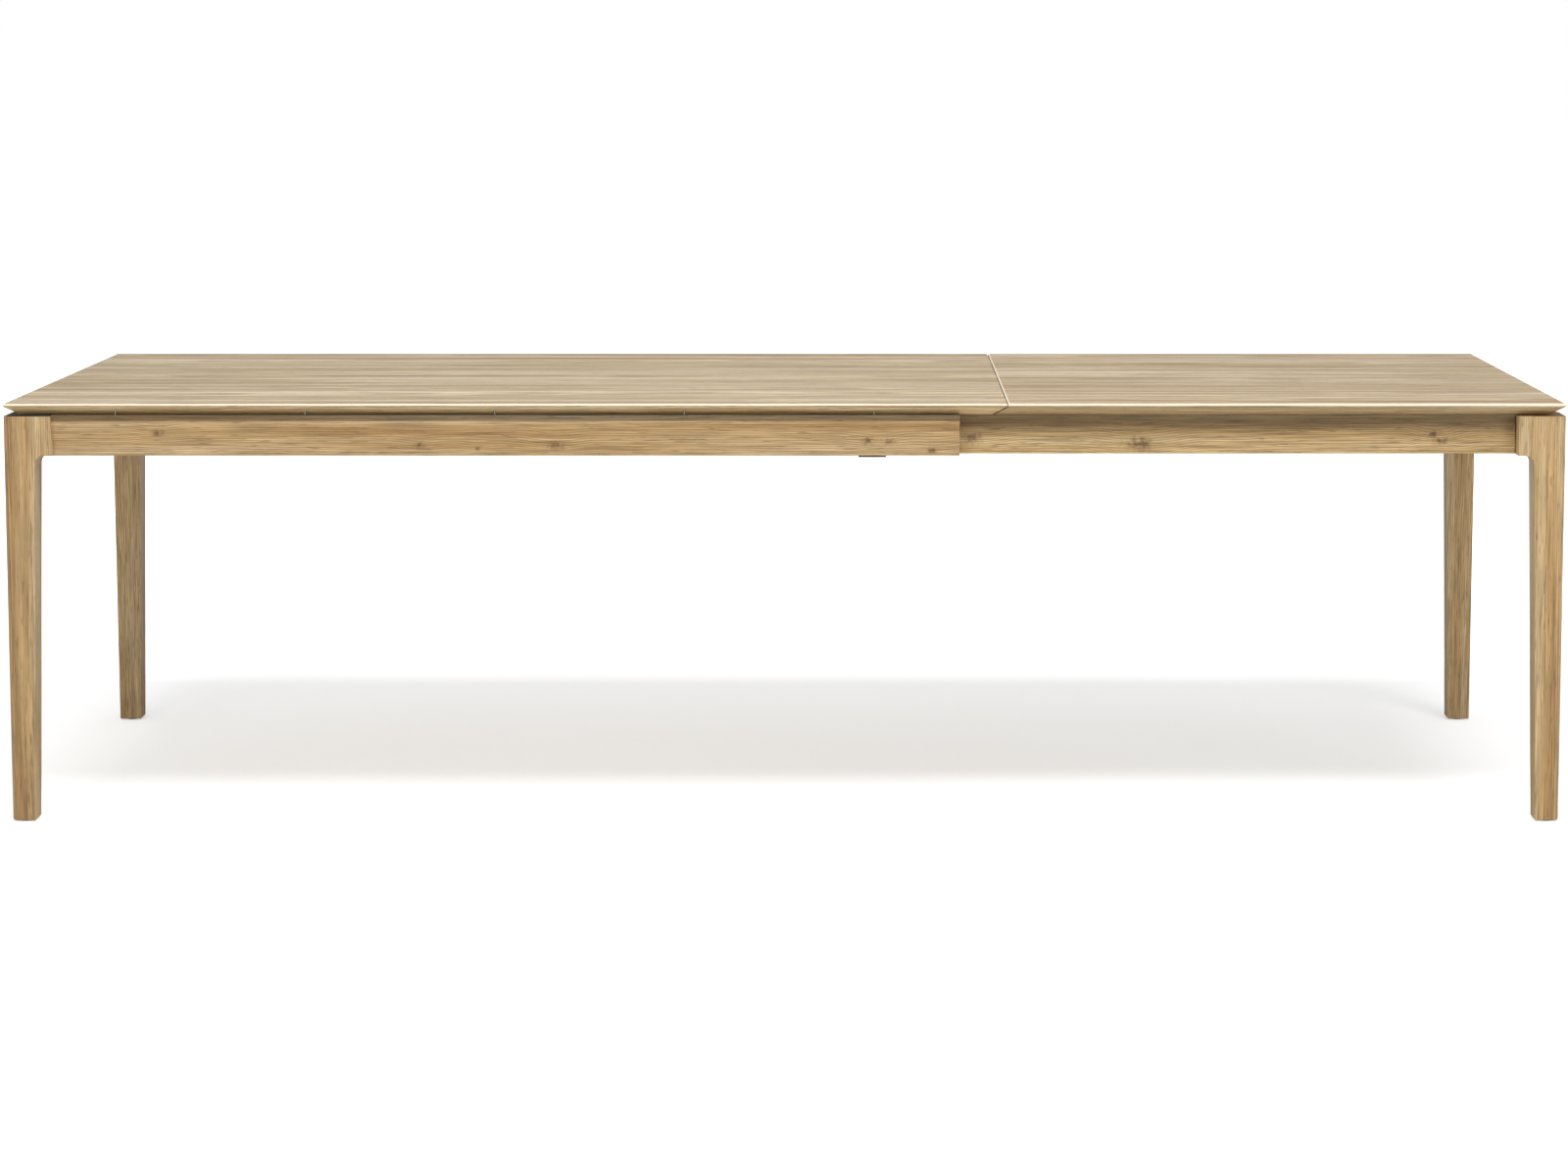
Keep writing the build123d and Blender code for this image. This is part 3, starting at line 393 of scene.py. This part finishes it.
def beechPlaned(look):
    # steamed beech, planed and left bare: pinkish tan, covered in short darker flecks along the grain, quite dull
    material, tree = newMaterial("beech planed")
    place = addNode(tree, "ShaderNodeTexCoord").outputs["Object"]
    stretch = [1000 / look["fleckLength"], 1000 / look["fleckWidth"], 1000 / look["fleckWidth"]]
    flecks = addNode(tree, "ShaderNodeVectorMath", {"operation": "MULTIPLY"},
                     {0: place, 1: stretch}).outputs[0]
    flecks = addNode(tree, "ShaderNodeTexNoise", {},
                     {"Vector": flecks, "Scale": 1.0, "Detail": 2.0}).outputs[0]
    tone = addNode(tree, "ShaderNodeMapRange", {}, {0: flecks, 1: 0.45, 2: 0.68, 3: 0.0, 4: 1.0}).outputs[0]
    colour = addNode(tree, "ShaderNodeMix", {"data_type": "RGBA"},
                     {0: tone, 6: linear(look["body"]), 7: linear(look["fleck"])}).outputs[2]
    bump = addNode(tree, "ShaderNodeBump", {},
                   {"Height": flecks, "Strength": 0.4, "Distance": look["depth"] / 1000})
    finishShader(tree, {"Base Color": colour, "Roughness": 0.62, "Normal": bump.outputs[0]})
    return material


def mouldedPlastic(name, look):
    # a spark-eroded mould leaves an even fine grain with a dull sheen
    material, tree = newMaterial(name)
    place = addNode(tree, "ShaderNodeTexCoord").outputs["Object"]
    grain = addNode(tree, "ShaderNodeTexNoise", {}, {"Vector": place, "Scale": 1000 / look["grain"],
                                                    "Detail": 2.0}).outputs[0]
    rub = addNode(tree, "ShaderNodeTexNoise", {}, {"Vector": place, "Scale": look["rubWaves"],
                                                  "Detail": 3.0}).outputs[0]
    colour = addNode(tree, "ShaderNodeMix", {"data_type": "RGBA"},
                     {0: rub, 6: linear(look["dark"]), 7: linear(look["light"])}).outputs[2]
    dull = addNode(tree, "ShaderNodeMapRange", {}, {0: rub, 3: look["roughness"] - 0.08,
                                                   4: look["roughness"] + 0.08}).outputs[0]
    bump = addNode(tree, "ShaderNodeBump", {},
                   {"Height": grain, "Strength": 0.35, "Distance": look["depth"] / 1000})
    finishShader(tree, {"Base Color": colour, "Roughness": dull, "IOR": look["ior"],
                        "Normal": bump.outputs[0]})
    return material


def feltPressed(look):
    # wool felt: short tangled fibres that scatter light at the edges
    material, tree = newMaterial("wool felt pressed")
    place = addNode(tree, "ShaderNodeTexCoord").outputs["Object"]
    fuzz = addNode(tree, "ShaderNodeTexNoise", {}, {"Vector": place, "Scale": 1000 / look["fibre"],
                                                   "Detail": 4.0, "Distortion": 1.5}).outputs[0]
    colour = addNode(tree, "ShaderNodeMix", {"data_type": "RGBA"},
                     {0: fuzz, 6: linear(look["dark"]), 7: linear(look["light"])}).outputs[2]
    bump = addNode(tree, "ShaderNodeBump", {},
                   {"Height": fuzz, "Strength": 0.8, "Distance": look["depth"] / 1000})
    finishShader(tree, {"Base Color": colour, "Roughness": 0.95, "Sheen Weight": 0.3,
                        "Normal": bump.outputs[0]})
    return material


def aluminiumAnodised(look):
    # extruded and anodised: pale grey satin metal with faint drawn lines along the bar
    material, tree = newMaterial("aluminium anodised")
    place = addNode(tree, "ShaderNodeTexCoord").outputs["Object"]
    scale = 1000 / look["lineGap"]
    lines = addNode(tree, "ShaderNodeVectorMath", {"operation": "MULTIPLY"},
                    {0: place, 1: (look["lineWaves"], scale, scale)}).outputs[0]
    lines = addNode(tree, "ShaderNodeTexNoise", {},
                    {"Vector": lines, "Scale": 1.0, "Detail": 2.0}).outputs[0]
    colour = addNode(tree, "ShaderNodeMix", {"data_type": "RGBA"},
                     {0: lines, 6: linear(look["dark"]), 7: linear(look["light"])}).outputs[2]
    dull = addNode(tree, "ShaderNodeMapRange", {},
                   {0: lines, 3: look["gloss"][0], 4: look["gloss"][1]}).outputs[0]
    bump = addNode(tree, "ShaderNodeBump", {},
                   {"Height": lines, "Strength": 0.3, "Distance": look["depth"] / 1000})
    finishShader(tree, {"Base Color": colour, "Metallic": 1.0, "Roughness": dull, "Normal": bump.outputs[0]})
    return material


def steelPowderCoated(look):
    # black powder coat: a skin of polyester with orange peel, a little worn and dusty
    material, tree = newMaterial("steel powder coated")
    place = addNode(tree, "ShaderNodeTexCoord").outputs["Object"]
    peel = addNode(tree, "ShaderNodeTexNoise", {}, {"Vector": place, "Scale": 1000 / look["peel"],
                                                   "Detail": 2.0}).outputs[0]
    dust = addNode(tree, "ShaderNodeTexNoise", {}, {"Vector": place, "Scale": look["dustWaves"],
                                                   "Detail": 4.0}).outputs[0]
    dust = addNode(tree, "ShaderNodeMapRange", {}, {0: dust, 1: 0.45, 2: 0.75, 3: 0.0, 4: 0.5}).outputs[0]
    colour = addNode(tree, "ShaderNodeMix", {"data_type": "RGBA"},
                     {0: dust, 6: linear(look["body"]), 7: linear(look["dusty"])}).outputs[2]
    bump = addNode(tree, "ShaderNodeBump", {},
                   {"Height": peel, "Strength": 0.5, "Distance": look["depth"] / 1000})
    finishShader(tree, {"Base Color": colour, "Roughness": look["roughness"], "Normal": bump.outputs[0]})
    return material


def steelZincPlated(look):
    # bright zinc: cool grey with slightly warmer clouds from the passivation, and fine rolling marks
    material, tree = newMaterial("steel zinc plated")
    place = addNode(tree, "ShaderNodeTexCoord").outputs["Object"]
    cloud = addNode(tree, "ShaderNodeTexNoise", {},
                    {"Vector": place, "Scale": look["cloudWaves"], "Detail": 3.0}).outputs[0]
    colour = addNode(tree, "ShaderNodeMix", {"data_type": "RGBA"},
                     {0: cloud, 6: linear(look["cool"]), 7: linear(look["warm"])}).outputs[2]
    dull = addNode(tree, "ShaderNodeMapRange", {},
                   {0: cloud, 3: look["gloss"][0], 4: look["gloss"][1]}).outputs[0]
    marks = addNode(tree, "ShaderNodeTexNoise", {},
                    {"Vector": place, "Scale": look["markWaves"], "Detail": 1.0}).outputs[0]
    bump = addNode(tree, "ShaderNodeBump", {},
                   {"Height": marks, "Strength": 0.25, "Distance": look["depth"] / 1000})
    finishShader(tree, {"Base Color": colour, "Metallic": 1.0, "Roughness": dull, "Normal": bump.outputs[0]})
    return material


# widths and depths are in mm, and waves are for each metre
zinc = steelZincPlated({"cool": "#a9adb0", "warm": "#bdb8a8", "cloudWaves": 90.0, "markWaves": 900.0,
                        "gloss": (0.24, 0.44), "depth": 0.03})
finishes = {
    "beech_block": beechPlaned({"body": "#c79a72", "fleck": "#a87a54", "fleckLength": 6.0, "fleckWidth": 1.2,
                                "depth": 0.1}),
    "nylon": mouldedPlastic("nylon moulded", {
        "dark": "#2b2622", "light": "#3b342e", "grain": 0.8, "depth": 0.03, "rubWaves": 60.0,
        "roughness": 0.48, "ior": 1.53}),
    "rubber": mouldedPlastic("rubber moulded", {
        "dark": "#161616", "light": "#232322", "grain": 1.2, "depth": 0.05, "rubWaves": 60.0,
        "roughness": 0.82, "ior": 1.52}),
    "felt": feltPressed({"dark": "#4b3d30", "light": "#6e5c49", "fibre": 0.9, "depth": 0.2}),
    "aluminium_runner": aluminiumAnodised({
        "dark": "#b4b6b8", "light": "#cfd0d1", "lineGap": 0.7, "lineWaves": 2.0, "gloss": (0.28, 0.46),
        "depth": 0.03}),
    "black_steel": steelPowderCoated({"body": "#1b1b1c", "dusty": "#39383a", "peel": 1.4, "dustWaves": 22.0,
                                      "roughness": 0.5, "depth": 0.08}),
    "zinc_steel": zinc,
}
panelOak = oakMaterial("oak oiled, fixed top", panelLook)
leafOak = oakMaterial("oak oiled, leaf", leafLook)
railOak = oakMaterial("oak oiled, outer rails", railLook)
innerRailOak = oakMaterial("oak oiled, inner rails", innerRailLook)
endRailOak = oakMaterial("oak oiled, end rails", endRailLook)
crossRailOak = oakMaterial("oak planed, cross rails", crossRailLook)
legOak = oakMaterial("oak oiled, legs", legLook)
oakOf = {
    "main_top": panelOak, "extension_leaf": leafOak, "end_apron_left": endRailOak, "end_apron_right": endRailOak,
    "outer_apron_front": railOak, "outer_apron_back": railOak, "inner_apron_front": innerRailOak,
    "inner_apron_back": innerRailOak, "cross_rail_inner": crossRailOak, "cross_rail_middle": crossRailOak,
}
for name, node in nodes.items():
    material = finishes.get(slotOf[name]) or oakOf.get(name) or legOak
    for holder in node.material_slots:
        holder.material = material
print("finishes assigned")


# Every wood screw that can be seen from below gets a real head with a hexagon recess and a tapered shank.
# Sizes are in mm.
panScrew = {"seatRadius": 4.0, "faceRadius": 3.1, "headHeight": 2.4, "recessRadius": 1.9, "recessDepth": 1.5}
sunkScrew = {"seatRadius": 2.1, "faceRadius": 4.0, "headHeight": 2.2, "recessRadius": 1.7, "recessDepth": 1.3}
longScrew = {"seatRadius": 4.6, "faceRadius": 3.9, "headHeight": 4.0, "recessRadius": 2.4, "recessDepth": 2.4}
shankLook = {"tipRadius": 0.8, "neckRadius": 1.9, "sides": 12, "headSides": 28}


def screwTree():
    tree = bpy.data.node_groups.new("screws on points", "GeometryNodeTree")
    tree.interface.new_socket("Points", in_out="INPUT", socket_type="NodeSocketGeometry")
    sockets = {}
    for name in ("seatRadius", "faceRadius", "headHeight", "recessRadius", "recessDepth"):
        sockets[name] = tree.interface.new_socket(name, in_out="INPUT", socket_type="NodeSocketFloat").identifier
    sockets["finish"] = tree.interface.new_socket("finish", in_out="INPUT",
                                                  socket_type="NodeSocketMaterial").identifier
    tree.interface.new_socket("Screws", in_out="OUTPUT", socket_type="NodeSocketGeometry")
    start = addNode(tree, "NodeGroupInput").outputs
    head = addNode(tree, "GeometryNodeMeshCone", {}, {
        "Vertices": shankLook["headSides"], "Side Segments": 2, "Radius Top": start["seatRadius"],
        "Radius Bottom": start["faceRadius"], "Depth": start["headHeight"]}).outputs["Mesh"]
    fall = addNode(tree, "ShaderNodeMath", {"operation": "MULTIPLY"},
                   {0: start["headHeight"], 1: -1.0}).outputs[0]
    fall = addNode(tree, "ShaderNodeCombineXYZ", {}, {2: fall}).outputs[0]
    head = addNode(tree, "GeometryNodeTransform", {}, {"Geometry": head, "Translation": fall}).outputs[0]
    deep = addNode(tree, "ShaderNodeMath", {"operation": "MULTIPLY"},
                   {0: start["recessDepth"], 1: 2.0}).outputs[0]
    recess = addNode(tree, "GeometryNodeMeshCylinder", {}, {
        "Vertices": 6, "Radius": start["recessRadius"], "Depth": deep}).outputs["Mesh"]
    recess = addNode(tree, "GeometryNodeTransform", {},
                     {"Geometry": recess, "Translation": fall}).outputs[0]
    cut = addNode(tree, "GeometryNodeMeshBoolean", {"operation": "DIFFERENCE"},
                  {"Mesh 1": head, "Mesh 2": recess})
    shank = addNode(tree, "GeometryNodeMeshCone", {}, {
        "Vertices": shankLook["sides"], "Side Segments": 3, "Radius Top": shankLook["tipRadius"] / 1000,
        "Radius Bottom": shankLook["neckRadius"] / 1000, "Depth": 1.0})
    turn = addNode(tree, "GeometryNodeInputNamedAttribute", {"data_type": "FLOAT_VECTOR"}, {"Name": "turn"})
    turn = addNode(tree, "FunctionNodeEulerToRotation", {}, {0: turn.outputs[0]}).outputs[0]
    length = addNode(tree, "GeometryNodeInputNamedAttribute", {"data_type": "FLOAT"},
                     {"Name": "shankLength"})
    size = addNode(tree, "ShaderNodeCombineXYZ", {}, {0: 1.0, 1: 1.0, 2: length.outputs[0]}).outputs[0]
    heads = addNode(tree, "GeometryNodeInstanceOnPoints", {}, {
        "Points": start["Points"], "Instance": cut.outputs["Mesh"], "Rotation": turn}).outputs[0]
    shanks = addNode(tree, "GeometryNodeInstanceOnPoints", {}, {
        "Points": start["Points"], "Instance": shank.outputs["Mesh"], "Rotation": turn, "Scale": size}).outputs[0]
    both = addNode(tree, "GeometryNodeJoinGeometry")
    tree.links.new(heads, both.inputs[0])
    tree.links.new(shanks, both.inputs[0])
    solid = addNode(tree, "GeometryNodeRealizeInstances", {}, {0: both.outputs[0]}).outputs[0]
    solid = addNode(tree, "GeometryNodeSetMaterial", {},
                    {"Geometry": solid, "Material": start["finish"]}).outputs[0]
    addNode(tree, "NodeGroupOutput", {}, {0: solid})
    return tree, sockets


def islandBoxes(name):
    # the separate solids in one CAD node, from a merged copy of its mesh
    copy = bmesh.new()
    copy.from_mesh(nodes[name].data)
    bmesh.ops.remove_doubles(copy, verts=copy.verts, dist=0.00001)
    left = set(copy.verts)
    boxes = []
    while left:
        reach = [left.pop()]
        corners = []
        while reach:
            vert = reach.pop()
            corners.append(vert.co.copy())
            for edge in vert.link_edges:
                other = edge.other_vert(vert)
                if other in left:
                    left.discard(other)
                    reach.append(other)
        low = Vector([min(c[i] for c in corners) for i in range(3)])
        high = Vector([max(c[i] for c in corners) for i in range(3)])
        boxes.append((low, high))
    copy.free()
    return sorted(boxes, key=lambda box: tuple(round(v, 4) for v in box[0]))


def screwPoints(name, look):
    # where each screw's head is seated, which way it is driven, and how long its shank is
    points = []
    for low, high in islandBoxes(name):
        middle = (low + high) / 2
        size = high - low
        headHeight = look["headHeight"] / 1000
        if size.z > size.y:
            seat = Vector((middle.x, middle.y, low.z + headHeight))
            points.append((seat, (0.0, 0.0, 0.0), size.z - headHeight))
        else:
            outwards = 1 if middle.y > 0 else -1
            inner = min(abs(low.y), abs(high.y))
            seat = Vector((middle.x, outwards * (inner + headHeight), middle.z))
            points.append((seat, (-outwards * math.pi / 2, 0.0, 0.0), size.y - headHeight))
    return points


def makeScrews(pieceName, body, look, names, tree, sockets):
    places = [point for name in names for point in screwPoints(name, look)]
    mesh = bpy.data.meshes.new(pieceName)
    mesh.from_pydata([seat for seat, _, _ in places], [], [])
    mesh.attributes.new("turn", "FLOAT_VECTOR", "POINT")
    mesh.attributes.new("shankLength", "FLOAT", "POINT")
    for index, (_, turn, length) in enumerate(places):
        mesh.attributes["turn"].data[index].vector = turn
        mesh.attributes["shankLength"].data[index].value = length
    seeds = bpy.data.objects.new(pieceName + "_points", mesh)
    bpy.context.collection.objects.link(seeds)
    modifier = seeds.modifiers.new("screws", "NODES")
    modifier.node_group = tree
    for key, value in look.items():
        modifier[sockets[key]] = value / 1000
    modifier[sockets["finish"]] = zinc
    solid = bpy.data.meshes.new_from_object(seeds.evaluated_get(bpy.context.evaluated_depsgraph_get()))
    seeds.modifiers.clear()
    bpy.data.objects.remove(seeds)
    piece = bpy.data.objects.new(pieceName, solid)
    bpy.context.collection.objects.link(piece)
    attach(piece, body)
    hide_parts(*names)
    print(pieceName, len(places), "screws")


screws, screwSockets = screwTree()
makeScrews("pan_screws_top", "fixed_frame", panScrew,
           ["top_stiffener_screws", "top_clip_screws", "leg_plate_screws"], screws, screwSockets)
makeScrews("pan_screws_leaf", "leaf", panScrew, ["leaf_stiffener_screws"], screws, screwSockets)
makeScrews("pan_screws_end_frame", "end_frame", panScrew, ["cross_rail_screws", "runner_shoe_screws"],
           screws, screwSockets)
makeScrews("sunk_screws_tie_bar", "fixed_frame", sunkScrew, ["tie_bar_screws"], screws, screwSockets)
makeScrews("long_screws_rails", "fixed_frame", longScrew, ["apron_screws"], screws, screwSockets)


stage = {
    "floorSize": 60.0,
    "floorSeen": 0.92,          # how pale the floor is for the camera
    "floorLift": (0.485, 1.2),  # a glow that keeps the floor white, under the table and far from it
    "liftColour": "#fcfeff",    # cools the shade, where the oak throws warm light
    "floorNear": (1.2, 3.4),    # metres from the middle between which that glow rises
    "floorSquash": 0.6,         # the table is long, so distances along it count for less
    "floorBounce": 0.74,        # how much the floor lights the table from below
    "coveGlow": 0.55,           # the lit studio all round, low down
    "coveNear": (2.0, 4.5),     # metres between which it rises
    "skySeen": 1.0,
    "skyLight": 0.42,
}
lamps = [  # name, place, what it points at, width, depth, watts
    ("key softbox", (0.2, -2.3, 4.8), (0.0, -0.2, 0.7), 4.8, 1.5, 205.0),
    ("left fill", (-4.4, -4.8, 1.5), (-0.7, 0.0, 0.5), 1.8, 1.6, 34.0),
    ("right fill", (4.4, -4.8, 1.5), (0.7, 0.0, 0.5), 1.8, 1.6, 50.0),
]
cameraLook = {"place": (0.1282, -6.8259, 1.4246), "pitch": -5.93, "lens": 81.71, "shift": (-0.0461, -0.12)}

mesh = bpy.data.meshes.new("floor")
half = stage["floorSize"] / 2
corners = [(-half, -half, 0), (half, -half, 0), (half, half, 0), (-half, half, 0)]
mesh.from_pydata(corners, [], [(0, 1, 2, 3)])
floor = bpy.data.objects.new("floor", mesh)
bpy.context.collection.objects.link(floor)
floorMaterial, tree = newMaterial("studio floor, matt white")
seen = addNode(tree, "ShaderNodeLightPath").outputs["Is Camera Ray"]
soft = addNode(tree, "ShaderNodeBsdfDiffuse", {}, {"Color": (stage["floorSeen"],) * 3 + (1.0,)}).outputs[0]
place = addNode(tree, "ShaderNodeTexCoord").outputs["Object"]
place = addNode(tree, "ShaderNodeVectorMath", {"operation": "MULTIPLY"},
                {0: place, 1: (stage["floorSquash"], 1.0, 1.0)}).outputs[0]
away = addNode(tree, "ShaderNodeVectorMath", {"operation": "LENGTH"}, {0: place}).outputs["Value"]
lift = addNode(tree, "ShaderNodeMapRange", {"interpolation_type": "SMOOTHSTEP"}, {
    0: away, 1: stage["floorNear"][0], 2: stage["floorNear"][1], 3: stage["floorLift"][0],
    4: stage["floorLift"][1]}).outputs[0]
lift = addNode(tree, "ShaderNodeEmission", {},
               {"Color": linear(stage["liftColour"]), "Strength": lift}).outputs[0]
soft = addNode(tree, "ShaderNodeAddShader", {}, {0: soft, 1: lift}).outputs[0]
bounce = addNode(tree, "ShaderNodeBsdfDiffuse", {},
                 {"Color": (stage["floorBounce"],) * 3 + (1.0,)}).outputs[0]
glow = addNode(tree, "ShaderNodeMapRange", {}, {
    0: away, 1: stage["coveNear"][0], 2: stage["coveNear"][1], 3: 0.0, 4: stage["coveGlow"]}).outputs[0]
glow = addNode(tree, "ShaderNodeEmission", {}, {"Strength": glow}).outputs[0]
bounce = addNode(tree, "ShaderNodeAddShader", {}, {0: bounce, 1: glow}).outputs[0]
both = addNode(tree, "ShaderNodeMixShader", {}, {0: seen, 1: bounce, 2: soft}).outputs[0]
fromBelow = addNode(tree, "ShaderNodeNewGeometry").outputs["Backfacing"]  # clear, to show the underside
clear = addNode(tree, "ShaderNodeBsdfTransparent").outputs[0]
both = addNode(tree, "ShaderNodeMixShader", {}, {0: fromBelow, 1: both, 2: clear}).outputs[0]
addNode(tree, "ShaderNodeOutputMaterial", {}, {"Surface": both})
mesh.materials.append(floorMaterial)

world = bpy.data.worlds.new("studio")
world.use_nodes = True
world.node_tree.nodes.clear()
tree = world.node_tree
seen = addNode(tree, "ShaderNodeLightPath").outputs["Is Camera Ray"]
strength = addNode(tree, "ShaderNodeMapRange", {},
                   {0: seen, 3: stage["skyLight"], 4: stage["skySeen"]}).outputs[0]
sky = addNode(tree, "ShaderNodeBackground", {}, {"Color": (1, 1, 1, 1), "Strength": strength})
addNode(tree, "ShaderNodeOutputWorld", {}, {"Surface": sky.outputs[0]})
bpy.context.scene.world = world
bpy.context.scene.view_settings.view_transform = "Standard"

for name, place, target, width, depth, watts in lamps:
    light = bpy.data.lights.new(name, "AREA")
    light.shape = "RECTANGLE"
    light.size = width
    light.size_y = depth
    light.energy = watts
    lamp = bpy.data.objects.new(name, light)
    lamp.location = place
    lamp.rotation_euler = (Vector(target) - Vector(place)).to_track_quat("-Z", "Y").to_euler()
    lamp.visible_camera = False
    bpy.context.collection.objects.link(lamp)

cameraData = bpy.data.cameras.new("camera")
cameraData.lens = cameraLook["lens"]
cameraData.shift_x, cameraData.shift_y = cameraLook["shift"]
cameraData.clip_end = 200
camera = bpy.data.objects.new("camera", cameraData)
camera.location = cameraLook["place"]
camera.rotation_euler = (math.radians(90 + cameraLook["pitch"]), 0, 0)
bpy.context.collection.objects.link(camera)
bpy.context.scene.camera = camera
print("stage, lights and camera placed")
